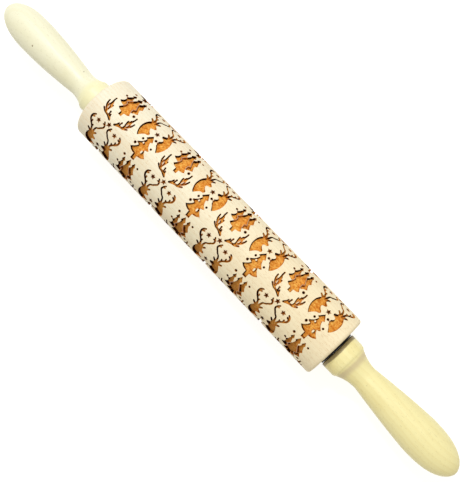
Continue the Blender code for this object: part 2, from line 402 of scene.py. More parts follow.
def reindeer(chest):
    """The left one of two that face each other, with its chest that far from the middle."""
    bust = outline(
        [(-9.8, -14.2), (-10.9, -16.2), (-11.6, -18.6), (-11.8, -21.0), (-11.6, -23.4),
         (-10.8, -25.8), (-9.8, -27.6)],
        [(-8.7, -28.7), (-7.9, -27.7), (-6.5, -25.8), (-5.1, -24.6), (-chest - 0.8, -24.2)],
        [(-chest, -23.2), (-chest - 0.3, -22.2)],
        [(-4.4, -21.6), (-5.5, -20.5), (-6.0, -19.3), (-5.6, -18.4), (-4.6, -18.1),
         (-3.5, -17.6), (-3.0, -16.7), (-3.7, -15.8), (-4.9, -15.1)],
        [(-5.6, -14.0), (-6.1, -12.6)],
        [(-8.6, -12.3)],
    )
    outer_antler = stroke(
        (-8.5, -13.0, 1.5), (-9.2, -10.2, 1.2), (-10.4, -8.6, 1.1), (-12.0, -7.1, 1.1),
        (-13.0, -5.7, 1.2), (-13.4, -4.1, 1.2), (-12.9, -2.3, 1.1), (-11.5, -1.2, 0.9),
    )
    inner_antler = stroke(
        (-7.0, -13.0, 1.5), (-6.5, -10.0, 1.1), (-5.9, -8.4, 1.0), (-4.4, -7.4, 1.0),
        (-3.2, -6.0, 1.0), (-2.0, -4.8, 1.0), (-1.7, -3.6, 1.1), (-2.3, -2.2, 1.0),
        (-3.3, -0.9, 0.9),
    )
    return [
        bust,
        stroke((-8.6, -14.2, 1.4), (-10.2, -13.0, 1.4), (-11.4, -12.2, 1.2)),
        stroke((-6.4, -13.8, 1.4), (-5.2, -12.6, 1.3), (-4.2, -11.7, 1.1)),
        outer_antler,
        stroke((-9.6, -9.8, 0.9), (-9.0, -8.3, 0.9)),
        stroke((-11.3, -7.7, 0.9), (-11.2, -5.9, 1.0)),
        stroke((-13.0, -3.7, 0.9), (-11.5, -3.0, 0.9)),
        inner_antler,
        stroke((-2.2, -2.6, 0.8), (-3.5, -2.4, 0.7)),
        star(-7.65, -2.85, 2.05),
    ]


def leafy_sprig():
    """The left one of a pair."""
    return [
        stroke((-2.4, 2.4, 1.2), (-4.2, 3.7, 1.9), (-6.2, 4.1, 1.1), (-8.3, 4.6, 1.4),
               (-9.8, 5.1, 1.0), (-11.2, 6.0, 0.8)),
        stroke((-3.8, 4.0, 1.3), (-4.1, 5.6, 0.8)),
        stroke((-5.3, 4.4, 0.9), (-5.3, 5.6, 0.7), (-5.5, 6.9, 1.1)),
        stroke((-8.2, 4.4, 1.3), (-8.5, 6.5, 1.5), (-9.05, 8.8, 2.6), (-9.3, 11.6, 1.6),
               (-9.9, 13.8, 0.9), (-9.95, 16.0, 0.9)),
        stroke((-8.9, 6.4, 1.2), (-10.6, 8.0, 1.2), (-11.6, 9.8, 1.0), (-12.0, 12.0, 0.8)),
        stroke((-8.9, 9.8, 1.3), (-8.9, 12.2, 0.9)),
        stroke((-8.1, 7.5, 1.1), (-7.8, 9.4, 1.2), (-7.5, 10.7, 0.9)),
    ]


def pattern():
    """All shapes of one column, from the trunk of the single tree up to the cluster."""
    sprig_gap = stroke((-9.3, 9.2, 0.45), (-9.15, 8.3, 0.5), (-8.95, 7.4, 0.45))
    shapes = [(True, shape) for shape in reindeer(3.0) + leafy_sprig()]
    shapes += [(True, mirrored(shape)) for shape in reindeer(4.5) + leafy_sprig()]
    shapes += [(False, sprig_gap), (False, mirrored(sprig_gap))]
    shapes += [(True, star(0, -0.15, 2.1)), (True, star(0.1, -18.75, 2.1))]
    return shapes + single_tree() + tree_cluster()


def left_edges(triangles):
    """The edges round a set of triangles, each with the triangles on its left."""
    sides = {(t[i], t[(i + 1) % 3]) for t in triangles for i in range(3)}
    return {start: end for start, end in sides if (end, start) not in sides}


INSIDE_ONLY = 1
SAME_PLACE = 1e-5
LEAST_CORNERS = 5


def triangulated(shapes, extra=()):
    """Corners and triangles of shapes laid together, and which shapes hold each triangle."""
    points, faces = [], []
    for shape in shapes:
        faces.append(list(range(len(points), len(points) + len(shape))))
        points += shape if area(shape) > 0 else shape[::-1]
    points += [Vector(point) for point in extra]
    found = delaunay_2d_cdt(points, [], faces, INSIDE_ONLY, SAME_PLACE, True)
    return found[0], found[2], found[5]


def cut_outlines(shapes):
    """The outlines of what stays cut when the shapes are laid over each other in order.

    The cut area is on the left of each outline, so those round an uncut island run clockwise.
    """
    verts, triangles, owners = triangulated([shape for _, shape in shapes])
    cut = [t for t, owner in zip(triangles, owners) if owner and shapes[max(owner)][0]]
    following = left_edges(cut)
    loops = []
    while following:
        start, place = following.popitem()
        loop = [verts[start]]
        while place != start:
            loop.append(verts[place])
            place = following.pop(place)
        loops.append(thinned(loop))
    return [loop for loop in loops if len(loop) >= LEAST_CORNERS]


def thinned(loop, least=0.2):
    """An outline without the points that lie too close to the one before."""
    kept = []
    for point in loop:
        if not kept or (point - kept[-1]).length > least:
            kept.append(point)
    if (kept[0] - kept[-1]).length < least:
        kept.pop()
    return kept


# One cell of the sheet: a column's width with wavy sides that go round the antlers

# An inset grows where a rim turns, by one over this at most
LEAST_LEAN = 0.9
CELL_START = -42.4
SIDE_BULGE = 2.0
BULGE_PLACE = -4.0
BOTTOM_STEPS = 28
DIP_DEPTH, DIP_REACH = 0.65, 3
GRID_STEP = 2.2
CLEAR_OF_RIM = 0.5
SOOT_AND_SHADOW_DISTANCE = 0.62
SOOT_AND_SHADOW_STEP = 0.5
RECENT_POINTS = 40


def side_place(half_pitch, row):
    """How far the cell's side is from its middle at a row, and how far up the row is."""
    y = CELL_START + REPEAT * row / ROWS
    return half_pitch + SIDE_BULGE * math.cos(TURN * (y - BULGE_PLACE) / REPEAT), y


def bottom_line(half_pitch):
    """The cell's lower edge, which dips between a trunk and the next tree's tip."""
    reach = side_place(half_pitch, 0)[0]
    found = []
    for step in range(BOTTOM_STEPS + 1):
        x = reach * (2 * step / BOTTOM_STEPS - 1)
        found.append(Vector((x, CELL_START - DIP_DEPTH * math.exp(-((x / DIP_REACH) ** 4)))))
    found[0].y = found[-1].y = CELL_START
    return found


def cell_outline(half_pitch):
    bottom = bottom_line(half_pitch)
    sides = [Vector(side_place(half_pitch, row)) for row in range(1, ROWS)]
    top = [point + Vector((0, REPEAT)) for point in bottom]
    return bottom + sides + top[::-1] + mirrored(sides)


def distances(points, loops):
    """How far each point is from the nearest outline, the way inwards there, and which one it is."""
    starts = np.array([point[:] for loop in loops for point in loop])
    ends = np.array([point[:] for loop in loops for point in loop[1:] + loop[:1]])
    along = ends - starts
    length = np.hypot(*along.T)
    inwards = np.stack([-along[:, 1], along[:, 0]], 1) / length[:, None]
    points = np.array(points)
    arms = points[:, None, :] - starts[None]
    share = np.clip((arms * along).sum(2) / length ** 2, 0, 1)
    gaps = np.linalg.norm(arms - share[..., None] * along, axis=2)
    nearest = gaps.argmin(1)
    owners = np.repeat(np.arange(len(loops)), [len(loop) for loop in loops])
    return gaps.min(1), inwards[nearest], owners[nearest]


def grid_points(half_pitch):
    """Points spread over the cell, in rows that a round barrel needs."""
    found = []
    for row in range(1, ROWS):
        reach, y = side_place(half_pitch, row)
        count = int(2 * (reach - CLEAR_OF_RIM) / GRID_STEP)
        shift = GRID_STEP / 4 * (1 if row % 2 else -1)
        found += [(GRID_STEP * (i - (count - 1) / 2) + shift, y) for i in range(count)]
    return found


def soot_points(loops):
    """Points a little way in from each rim, between which the soot and painted shadow fade."""
    starts = np.array([p[:] for loop in loops for p in loop])
    ends = np.array([p[:] for loop in loops for p in loop[1:] + loop[:1]])
    along = (ends - starts) / np.linalg.norm(ends - starts, axis=1)[:, None]
    places = (starts + ends) / 2 + np.stack([-along[:, 1], along[:, 0]], 1) * SOOT_AND_SHADOW_DISTANCE
    clear = places[distances(places, loops)[0] > CLEAR_OF_RIM]
    kept = []
    for place in clear:
        if all(abs(place - other).max() > SOOT_AND_SHADOW_STEP for other in kept[-RECENT_POINTS:]):
            kept.append(place)
    kept = np.array(kept)
    gaps = np.linalg.norm(kept[:, None] - kept[None], axis=2)
    lonely = [i for i in range(len(kept)) if not (gaps[i, :i] < SOOT_AND_SHADOW_STEP).any()]
    return kept[lonely]


class Cell:
    """The flat mesh of one cell: its corners, and its uncut and cut triangles."""

    def __init__(self, half_pitch):
        loops = cut_outlines(pattern())
        rim = cell_outline(half_pitch)
        soot = soot_points(loops)
        grid = np.array(grid_points(half_pitch))
        grid = grid[distances(grid, loops + [rim])[0] > CLEAR_OF_RIM]
        near_soot = np.linalg.norm(grid[:, None] - soot[None], axis=2).min(1)
        grid = grid[near_soot > SOOT_AND_SHADOW_STEP]
        verts, triangles, owners = triangulated([rim] + loops, np.vstack([soot, grid]))
        sign = [0] + [1 if area(loop) > 0 else -1 for loop in loops]
        depth = [sum(sign[face] for face in owner) for owner in owners]
        self.places = np.array([vert[:] for vert in verts])
        self.uncut = [t for t, deep, owner in zip(triangles, depth, owners) if owner and deep <= 0]
        self.cut = [t for t, deep in zip(triangles, depth) if deep > 0]
        self.rims = left_edges(self.cut)
        self.soot = pocket_soot(self.places, loops)
        self.scorch = ridge_soot(self.places, loops)

    def insets(self):
        """For each corner on a rim, the way into the pocket, longer where the rim turns."""
        before = {end: start for start, end in self.rims.items()}
        found = {}
        for corner, after in self.rims.items():
            first = Vector(self.places[corner] - self.places[before[corner]]).normalized()
            second = Vector(self.places[after] - self.places[corner]).normalized()
            inwards = Vector((-first.y - second.y, first.x + second.x)).normalized()
            lean = max(inwards.dot(Vector((-second.y, second.x))), LEAST_LEAN)
            found[corner] = np.array(inwards) / lean
        return found


DOT_AREA, DOT_DARKNESS = 4, 0.55
STAR_AREA, STAR_DARKNESS = 8, 0.4
NARROW_DARKNESS = 0.12
# Soot beside walls that face the key lamp; beside those that face away, painted shadow darkens up to
# full
LIT_SOOT = 0.3
WORN_SOOT_AND_SHADOW = 0.6
BESIDE_RIDGE = 0.4
RIDGE_SCORCH = 0.4
SOOT_AND_SHADOW_FADE = 0.66
PROBE, PROBE_SLACK, NARROW_FADE = 1.1, 0.1, 0.6
RIDGE_PROBE, RIDGE_SLACK = 0.45, 0.05
RIDGE_WIDTH, RIDGE_FADE = 0.35, 0.2
LIT_TURN, SHADE_FADE = 0.3, 0.9


def pocket_soot(places, loops):
    """How black a pocket is at each place.

    It is black all over where it is small, less so where it is narrow, and else near the walls: a
    little soot by every wall, and painted shadow by those that face the right end, away from the lamp.
    """
    gap, inwards, owners = distances(places, loops)
    # Painted shadow: beside walls that face the right end, away from the lamp over the left end, the
    # floor darkens as if shaded
    shaded = np.clip((inwards[:, 0] + LIT_TURN) / SHADE_FADE, 0, 1)
    level = np.clip(1 - gap / SOOT_AND_SHADOW_FADE, 0, 1) * (LIT_SOOT + (1 - LIT_SOOT) * shaded)
    beyond = distances(places - inwards * (gap + RIDGE_PROBE)[:, None], loops)[0]
    level *= np.where(beyond < RIDGE_PROBE - RIDGE_SLACK, BESIDE_RIDGE, 1)
    probes = places + inwards * (PROBE - gap)[:, None]
    narrow = np.clip((PROBE - PROBE_SLACK - distances(probes, loops)[0]) / NARROW_FADE, 0, 1)
    level = np.maximum(level, NARROW_DARKNESS * narrow)
    areas = np.array([area(loop) for loop in loops])[owners]
    level = np.where((areas > 0) & (areas < STAR_AREA), np.maximum(level, STAR_DARKNESS), level)
    return np.where((areas > 0) & (areas < DOT_AREA), DOT_DARKNESS, level)


def ridge_soot(places, loops):
    """How scorched the surface is at each place: only where little of it is left between pockets."""
    gap, inwards, _ = distances(places, loops)
    beyond = distances(places - inwards * RIDGE_PROBE, loops)[0]
    scorch = np.clip((RIDGE_WIDTH - beyond) / RIDGE_FADE, 0, RIDGE_SCORCH)
    return np.where(gap < WELD / MM, scorch, 0)


SHARP_ANGLE = math.radians(32)


class Shell:
    """Corners in (x, angle, radius), in metres, and faces, from which a turned mesh is made."""

    def __init__(self):
        self.places, self.soot, self.rise = [], [], []
        self.faces, self.finishes, self.is_round = [], [], []

    def corners(self, places, soot=None, rise=1.0):
        """Add corners with how black each is and how far up its pocket's wall they lie."""
        start = len(self.places)
        self.places += [tuple(place) for place in places]
        self.soot += [0.0] * len(places) if soot is None else list(soot)
        self.rise += [rise] * len(places)
        return start

    def cover(self, faces, start, finish, is_round=False):
        """Add faces whose corners are counted from a start."""
        self.faces += [tuple(int(corner) + start for corner in face) for face in faces]
        self.finishes += [finish] * len(faces)
        self.is_round += [is_round] * len(faces)

    def lathe(self, profile, angles, finish):
        """Turn a profile of (x, radius) points through the angles and all the way round."""
        count = len(angles)
        rings = [[(x, a, radius) for a in angles] for x, radius in profile]
        start = self.corners([place for ring in rings for place in ring])
        faces = []
        for ring in range(len(rings) - 1):
            for side in range(count):
                low, high = ring * count, (ring + 1) * count
                after = (side + 1) % count
                faces.append((low + side, high + side, high + after, low + after))
        self.cover(faces, start, finish)

    def mesh(self, name):
        """A mesh in the pin's place, welded where its parts meet, with its round faces shaded true."""
        x, turn, radius = np.array(self.places).T
        points = np.stack([x, radius * np.sin(turn), AXIS_HEIGHT + radius * np.cos(turn)], 1)
        mesh = bpy.data.meshes.new(name)
        mesh.from_pydata([tuple(point) for point in points], [], self.faces)
        mesh.attributes.new("soot", "FLOAT", "POINT").data.foreach_set("value", self.soot)
        mesh.attributes.new("rise", "FLOAT", "POINT").data.foreach_set("value", self.rise)
        mesh.attributes.new("is_round", "BOOLEAN", "FACE").data.foreach_set("value", self.is_round)
        mesh.polygons.foreach_set("material_index", self.finishes)
        shape = bmesh.new()
        shape.from_mesh(mesh)
        bmesh.ops.remove_doubles(shape, verts=shape.verts, dist=WELD)
        shape.to_mesh(mesh)
        shape.free()
        mesh.shade_smooth()
        mesh.set_sharp_from_angle(angle=SHARP_ANGLE)
        shade_round(mesh)
        return mesh


def shade_round(mesh):
    """Give the faces marked round the normals of a true cylinder, and leave the others as they are."""
    spans = mesh.attributes["is_round"].data
    normals = np.zeros((len(mesh.loops), 3))
    for face in mesh.polygons:
        if spans[face.index].value:
            for corner in face.loop_indices:
                place = mesh.vertices[mesh.loops[corner].vertex_index].co
                normals[corner] = Vector((0, place.y, place.z - AXIS_HEIGHT)).normalized()
    mesh.attributes.remove(mesh.attributes["is_round"])
    mesh.normals_split_custom_set(normals)


def fresh(name, mesh):
    """A new object that takes the place of one that an earlier run made."""
    old = bpy.data.objects.get(name)
    if old is not None:
        bpy.data.objects.remove(old, do_unlink=True)
    piece = bpy.data.objects.new(name, mesh)
    bpy.context.scene.collection.objects.link(piece)
    return piece


SURFACE, POCKET = 0, 1


def add_cell(shell, cell, middle, turn, settings):
    """Wrap one cell of the sheet round the barrel, with its pockets sunk and walled."""
    depth = settings.pocket_depth
    places = cell.places * MM
    insets = cell.insets()
    corners = sorted(insets)
    order = {corner: place for place, corner in enumerate(corners)}
    ways = np.array([insets[corner] for corner in corners])

    def wrapped(flat, radius):
        angles = turn + flat[:, 1] / BARREL_RADIUS
        return np.stack([middle + flat[:, 0], angles, np.full(len(flat), radius)], 1)

    top = shell.corners(wrapped(places, BARREL_RADIUS), cell.scorch)
    shell.cover(cell.uncut, top, SURFACE, is_round=True)

    # The worn edge takes part of the pocket's soot and painted shadow
    worn_flat = places[corners] + ways * settings.rim_break
    worn = shell.corners(
        wrapped(worn_flat, BARREL_RADIUS - settings.rim_break), cell.soot[corners] * WORN_SOOT_AND_SHADOW
    )
    floor_flat = places.copy()
    floor_flat[corners] += ways * (settings.rim_break + settings.wall_draft)
    floor = shell.corners(wrapped(floor_flat, BARREL_RADIUS - depth), cell.soot, rise=0.0)
    shell.cover(cell.cut, floor, POCKET, is_round=True)

    walls = []
    for start, end in cell.rims.items():
        near, far = worn + order[start], worn + order[end]
        walls.append((far, near, top + start, top + end))
        walls.append((floor + end, floor + start, near, far))
    shell.cover(walls, 0, POCKET)


def add_margins(shell, half_pitch, columns, settings):
    """Join the wavy sides of the first and last column to the barrel's rounded ends."""
    straight = BARREL_END - settings.edge_radius
    for column, side in ((columns[0], -1), (columns[-1], 1)):
        middle, turn = column
        for steps in range(SIDES_ROUND):
            rows = [steps % ROWS, steps % ROWS + 1]
            half = math.pi * (steps // ROWS)
            edge = []
            for row in rows:
                reach, y = side_place(half_pitch, row)
                edge.append((middle + side * reach * MM, turn + half + y * MM / BARREL_RADIUS))
            (x_low, a_low), (x_high, a_high) = edge
            end = side * straight
            centre_low, centre_high = (x_low + end) / 2, (x_high + end) / 2
            places = [
                (x_low, a_low), (x_high, a_high), (centre_high, a_high), (centre_low, a_low),
                (end, a_high), (end, a_low),
            ]
            start = shell.corners([(x, a, BARREL_RADIUS) for x, a in places])
            faces = [(0, 1, 2, 3), (3, 2, 4, 5)]
            shell.cover([f if side < 0 else f[::-1] for f in faces], start, SURFACE, is_round=True)


EDGE_STEPS = 8


def barrel_profile(settings, sleeve_radius):
    """From the left end of the plain stretch, round the ends and through the bore, to the right."""
    gap = settings.seat_gap
    flange_seat = FLANGE_RADIUS + gap
    flange_floor = BARREL_END - bpy.context.scene.pin_fittings.flange_thickness - gap
    sleeve_floor = BARREL_END - BUSH_LENGTH - gap
    edge = settings.edge_radius
    turns = [math.pi / 2 * step / EDGE_STEPS for step in range(EDGE_STEPS + 1)]
    right = [
        (BARREL_END - edge * (1 - math.sin(a)), BARREL_RADIUS - edge * (1 - math.cos(a)))
        for a in turns
    ]
    right += [
        (BARREL_END, (BARREL_RADIUS + flange_seat) / 2),
        (BARREL_END, flange_seat),
        (flange_floor, flange_seat),
        (flange_floor, sleeve_radius + gap),
        (sleeve_floor, sleeve_radius + gap),
        (sleeve_floor, settings.bore_radius),
    ]
    return [(-x, radius) for x, radius in right] + right[::-1]


class PIN_OT_barrel(bpy.types.Operator):
    """Make the barrel, with the whole pattern carved into it"""

    bl_idname = "rolling_pin.barrel"
    bl_label = "Carved barrel"

    def execute(self, context):
        settings = context.scene.pin_barrel
        fittings = context.scene.pin_fittings
        pitch = settings.column_pitch
        half_pitch = pitch / 2 / MM
        cell = Cell(half_pitch)
        if not cell.cut:
            raise RuntimeError("The pattern cut nothing out of the sheet")
        count = int(2 * BARREL_END / pitch)
        columns = [
            ((place - (count - 1) / 2) * pitch + settings.column_shift,
             settings.pattern_turn + (math.pi / 2 if place % 2 else 0))
            for place in range(count)
        ]
        shell = Shell()
        for middle, turn in columns:
            for half in (0, math.pi):
                add_cell(shell, cell, middle, turn + half, settings)
        add_margins(shell, half_pitch, columns, settings)
        first_angle = settings.pattern_turn + CELL_START * MM / BARREL_RADIUS
        angles = [first_angle + TURN * side / SIDES_ROUND for side in range(SIDES_ROUND)]
        sleeve_radius = AXLE_RADIUS + fittings.running_gap + fittings.bush_wall
        shell.lathe(barrel_profile(settings, sleeve_radius), angles[::-1], SURFACE)
        mesh = shell.mesh("carved_barrel")
        mesh.materials.append(beech(settings))
        mesh.materials.append(burnt_pocket(settings))
        piece = fresh("carved_barrel", mesh)
        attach(piece, "barrel")
        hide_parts("barrel")
        return {"FINISHED"}


# Handles and fittings

ROUND_SIDES = 96
COLLAR_STEPS, COVE_STEPS, SWELL_STEPS, CAP_STEPS = 8, 24, 40, 28
CAP_POWER = 2.8
CAP_ROOT = 0.55
SOFT_SHARE = 0.3
AXLE_CHAMFER_SHARE = 1.5


def handle_profile(settings, side, total):
    """A handle's outline of (distance from its inner face, radius), from its socket to its tip."""
    names = ("collar_radius", "collar_length", "neck_radius", "neck_place", "grip_radius",
             "grip_place", "swell")
    sizes = [getattr(settings, f"{side}_{name}") for name in names]
    collar, collar_end, neck, neck_place, grip, grip_place, swell = sizes
    chamfer = settings.collar_chamfer
    socket = AXLE_RADIUS + settings.socket_gap
    cove = collar - settings.collar_drop
    points = [
        (settings.socket_depth, 0),
        (settings.socket_depth, socket),
        (chamfer, socket),
        (0, socket + chamfer),
        (0, (socket + collar) / 2),
        (0, collar - chamfer),
        (chamfer * SOFT_SHARE, collar - chamfer * SOFT_SHARE),
        (chamfer, collar),
        (collar_end / 2, collar),
    ]
    for step in range(COLLAR_STEPS):
        turn = step / COLLAR_STEPS * math.pi / 2
        x = collar_end - settings.collar_round * (1 - math.sin(turn))
        points.append((x, cove + settings.collar_drop * math.cos(turn)))
    for step in range(COVE_STEPS):
        along = step / COVE_STEPS
        x = collar_end + (neck_place - collar_end) * along
        points.append((x, neck + (cove - neck) * (1 - along) ** 2))
    for step in range(SWELL_STEPS):
        along = step / SWELL_STEPS
        rise = (1 - swell) * along + swell * math.sin(along * math.pi / 2)
        points.append((neck_place + (grip_place - neck_place) * along, neck + (grip - neck) * rise))
    for step in range(CAP_STEPS):
        along = math.sin(step / CAP_STEPS * math.pi / 2)
        x = grip_place + (total - grip_place) * along
        points.append((x, grip * (1 - along ** CAP_POWER) ** CAP_ROOT))
    points.append((total, 0))
    return points


def turned(name, profile, start, faces_left, closed=False):
    """Turn a profile into a mesh about the pin's axis, from a start and towards one end."""
    way = -1 if faces_left else 1
    placed = [(way * (start + x), max(radius, WELD / 4)) for x, radius in profile]
    if closed:
        placed.append(placed[0])
    if faces_left:
        placed.reverse()
    angles = [TURN * (side + 0.5) / ROUND_SIDES for side in range(ROUND_SIDES)]
    shell = Shell()
    shell.lathe(placed, angles, 0)
    mesh = shell.mesh(name)
    for layer in ("soot", "rise"):
        mesh.attributes.remove(mesh.attributes[layer])
    return mesh


def dress(name, mesh, material, body, node):
    """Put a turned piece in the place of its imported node."""
    mesh.materials.append(material)
    piece = fresh(name, mesh)
    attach(piece, body)
    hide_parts(node)


# Places of small marks on the handles, and how strong each is
MARKS = {
    "left": (((-0.1745, -0.0065, 0.035), 0.85), ((-0.1374, 0.0066, 0.0309), 0.4)),
    "right": (),
}


class PIN_OT_handles(bpy.types.Operator):
    """Make the two turned handles"""

    bl_idname = "rolling_pin.handles"
    bl_label = "Turned handles"

    def execute(self, context):
        settings = context.scene.pin_handles
        for side, face, tip in zip(SIDES, (LEFT_FACE, RIGHT_FACE), (LEFT_TIP, RIGHT_TIP)):
            name = f"{side}_turned_handle"
            profile = handle_profile(settings, side, tip - face)
            mesh = turned(name, profile, face, side == "left")
            material = pale_wood(settings, side, face)
            dress(name, mesh, material, "handles", f"{side}_handle")
        return {"FINISHED"}


def bush_profile(settings):
    """A flanged sleeve. Its flange's outer face is at 0 and its sleeve runs back from there."""
    chamfer = settings.chamfer
    inner = AXLE_RADIUS + settings.running_gap
    sleeve = inner + settings.bush_wall
    flange = settings.flange_thickness
    return [
        (-chamfer, inner),
        (-BUSH_LENGTH, inner),
        (-BUSH_LENGTH, sleeve - chamfer),
        (chamfer - BUSH_LENGTH, sleeve),
        (-flange, sleeve),
        (-flange, FLANGE_RADIUS),
        (-chamfer / 2, FLANGE_RADIUS),
        (0, FLANGE_RADIUS - chamfer / 2),
        (0, inner + chamfer),
    ]


def washer_profile(settings):
    """A flat punched ring with softly rounded edges."""
    inner = AXLE_RADIUS + settings.running_gap
    thickness = WASHER_HIGH.x - WASHER_LOW.x
    edge = settings.washer_edge
    soft = edge * SOFT_SHARE
    ring = []
    for x, radius, x_way, radius_way in (
        (0, inner, 1, 1), (0, WASHER_RADIUS, 1, -1),
        (thickness, WASHER_RADIUS, -1, -1), (thickness, inner, -1, 1),
    ):
        corner = [
            (x, radius + radius_way * edge),
            (x + x_way * soft, radius + radius_way * soft),
            (x + x_way * edge, radius),
        ]
        ring += corner if x_way == -radius_way else corner[::-1]
    return ring


def axle_profile(settings):
    chamfer = settings.chamfer * AXLE_CHAMFER_SHARE
    half = [
        (0, AXLE_RADIUS),
        (AXLE_END / 2, AXLE_RADIUS),
        (AXLE_END - chamfer, AXLE_RADIUS),
        (AXLE_END, AXLE_RADIUS - chamfer),
        (AXLE_END, 0),
    ]
    return [(-x, radius) for x, radius in half[:0:-1]] + half


class PIN_OT_fittings(bpy.types.Operator):
    """Make the axle, the bushes and the washers inside the pin"""

    bl_idname = "rolling_pin.fittings"
    bl_label = "Axle, bushes and washers"

    def execute(self, context):
        settings = context.scene.pin_fittings
        steel = drawn_steel(settings)
        nylon = moulded_nylon("natural_nylon", settings.nylon, gloss=0.5)
        black_nylon = moulded_nylon("black_nylon", settings.black_nylon, gloss=0.2)
        axle = turned("steel_axle", axle_profile(settings), 0, False)
        dress("steel_axle", axle, steel, "handles", "axle")
        for side in SIDES:
            is_left = side == "left"
            name = f"{side}_nylon_bush"
            bush = turned(name, bush_profile(settings), BARREL_END, is_left, closed=True)
            dress(name, bush, nylon, "barrel", f"{side}_bush")
            name = f"{side}_thrust_washer"
            washer = turned(name, washer_profile(settings), WASHER_LOW.x, is_left, closed=True)
            dress(name, washer, black_nylon, "washers", f"{side}_washer")
        return {"FINISHED"}


# Materials

class Nodes:
    """Adds nodes to one tree, and links or sets their sockets."""

    def __init__(self, tree):
        self.tree = tree

    def put(self, socket, value):
        """Link a socket, or set it on the node itself. A colour may lack its fourth number."""
        if isinstance(value, bpy.types.NodeSocket):
            self.tree.links.new(value, socket)
        else:
            socket.default_value = (*value[:3], 1) if socket.type == "RGBA" else value

    def add(self, kind, sockets=None, **settings):
        node = self.tree.nodes.new("ShaderNode" + kind)
        for name, value in settings.items():
            setattr(node, name, value)
        for name, value in (sockets or {}).items():
            self.put(node.inputs[name], value)
        return node

    def get(self, kind, sockets=None, result=0, **settings):
        """Add a node and give one of its outputs."""
        return self.add(kind, sockets, **settings).outputs[result]

    def maths(self, operation, first, second=0.0):
        return self.get("Math", {0: first, 1: second}, operation=operation)

    def vector_maths(self, operation, first, second, result=0):
        return self.get("VectorMath", {0: first, 1: second}, result, operation=operation)

    def ramp(self, value, low, high, out_low=0.0, out_high=1.0):
        """A soft step from one level to another."""
        sockets = {"Value": value, "From Min": low, "From Max": high, "To Min": out_low,
                   "To Max": out_high}
        return self.get("MapRange", sockets, "Result", interpolation_type="SMOOTHSTEP")

    def mix(self, factor, first, second):
        """One colour laid over another."""
        return self.get("Mix", {0: factor, 6: first, 7: second}, 2, data_type="RGBA")

    def stain(self, tone, paint, mask, low, high, most=1.0):
        """A colour laid over a tone as far as a mask rises from one level to another."""
        return self.mix(self.ramp(mask, low, high, 0, most), tone, paint)

    def tint(self, tone, paint, mask, share):
        """A share of a colour laid over a tone where a mask is."""
        return self.mix(self.maths("MULTIPLY", mask, share), tone, paint)

    def stretched(self, place, along, across):
        """A place in units that make what follows long along X and thin across it."""
        sockets = {"Vector": place, "Scale": (along, across, across)}
        return self.get("Mapping", sockets, "Vector", vector_type="POINT")

    def noise(self, place, detail=3.0, roughness=0.55, scale=1.0):
        sockets = {"Vector": place, "Scale": scale, "Detail": detail, "Roughness": roughness}
        return self.get("TexNoise", sockets, "Fac")

    def part(self, place, axis):
        return self.get("SeparateXYZ", {0: place}, axis)

    def stored(self, name):
        """A value that the mesh holds at its corners."""
        return self.get("Attribute", None, "Fac", attribute_name=name)

    def effect(self, name, sockets):
        """One of the shared effects, with its own values here."""
        return self.add("Group", sockets, node_tree=shared_effect(name)).outputs


def shared_effect(name):
    """The node group of an effect, made when it is first asked for. It puts out masks alone."""
    group = bpy.data.node_groups.get(name)
    if group is None:
        wire, inputs = EFFECTS[name]
        group = bpy.data.node_groups.new(name, "ShaderNodeTree")
        for label, default in inputs.items():
            kind = "NodeSocketVector" if isinstance(default, tuple) else "NodeSocketFloat"
            socket = group.interface.new_socket(label, in_out="INPUT", socket_type=kind)
            socket.default_value = default
        nodes = Nodes(group)
        masks = wire(nodes, group.nodes.new("NodeGroupInput").outputs)
        for label in masks:
            group.interface.new_socket(label, in_out="OUTPUT", socket_type="NodeSocketFloat")
        outlet = group.nodes.new("NodeGroupOutput").inputs
        for label, mask in masks.items():
            nodes.put(outlet[label], mask)
    return group


def wood_grain(nodes, inlet):
    """Year rings, fibres and slow clouds of tone in a piece of wood that lies along X."""
    place = inlet["Place"]
    slow = nodes.noise(nodes.stretched(place, 9, 45), detail=2)
    arm = nodes.vector_maths("SUBTRACT", place, inlet["Heart"])
    squares = [
        nodes.maths("POWER", nodes.maths("ABSOLUTE", nodes.part(arm, axis)), 2.0) for axis in "YZ"
    ]
    reach = nodes.maths("ADD", nodes.maths("SQRT", nodes.maths("ADD", *squares)),
                        nodes.maths("MULTIPLY", slow, inlet["Ring Wander"]))
    phase = nodes.maths("FRACT", nodes.maths("DIVIDE", reach, inlet["Ring Width"]))
    rise, fall = nodes.ramp(phase, 0.3, 0.95), nodes.ramp(phase, 0.95, 1.0, 1.0, 0.0)
    return {
        "Rings": nodes.maths("MULTIPLY", rise, fall),
        "Fibres": nodes.noise(nodes.stretched(place, 60, 1400), detail=4, roughness=0.6),
        "Fine Fibres": nodes.noise(nodes.stretched(place, 220, 5200)),
        "Clouds": nodes.noise(nodes.stretched(place, 14, 60)),
    }


def wood_flecks(nodes, inlet):
    """Scattered short dashes along the grain."""
    scale = nodes.get("CombineXYZ", {0: inlet["Along"], 1: inlet["Across"], 2: inlet["Across"]})
    value = nodes.noise(nodes.vector_maths("MULTIPLY", inlet["Place"], scale), detail=1)
    edge = nodes.maths("ADD", inlet["Rarity"], 0.07)
    return {"Mask": nodes.ramp(value, inlet["Rarity"], edge)}


def small_mark(nodes, inlet):
    """A small ragged spot at a place on a piece."""
    gap = nodes.vector_maths("DISTANCE", inlet["Place"], inlet["Spot"], "Value")
    wander = nodes.ramp(nodes.noise(inlet["Place"], scale=1500), 0, 1, 0.5, 1.5)
    return {"Mask": nodes.maths("LESS_THAN", gap, nodes.maths("MULTIPLY", inlet["Size"], wander))}


ORIGIN = (0, 0, 0)
EFFECTS = {
    "Wood grain": (wood_grain, {
        "Place": ORIGIN, "Heart": (0, 50 * MM, 30 * MM), "Ring Width": 2.2 * MM, "Ring Wander": 2.5 * MM,
    }),
    "Wood flecks": (wood_flecks, {"Place": ORIGIN, "Along": 380, "Across": 2600, "Rarity": 0.62}),
    "Small mark": (small_mark, {"Place": ORIGIN, "Spot": ORIGIN, "Size": 0.6 * MM}),
}


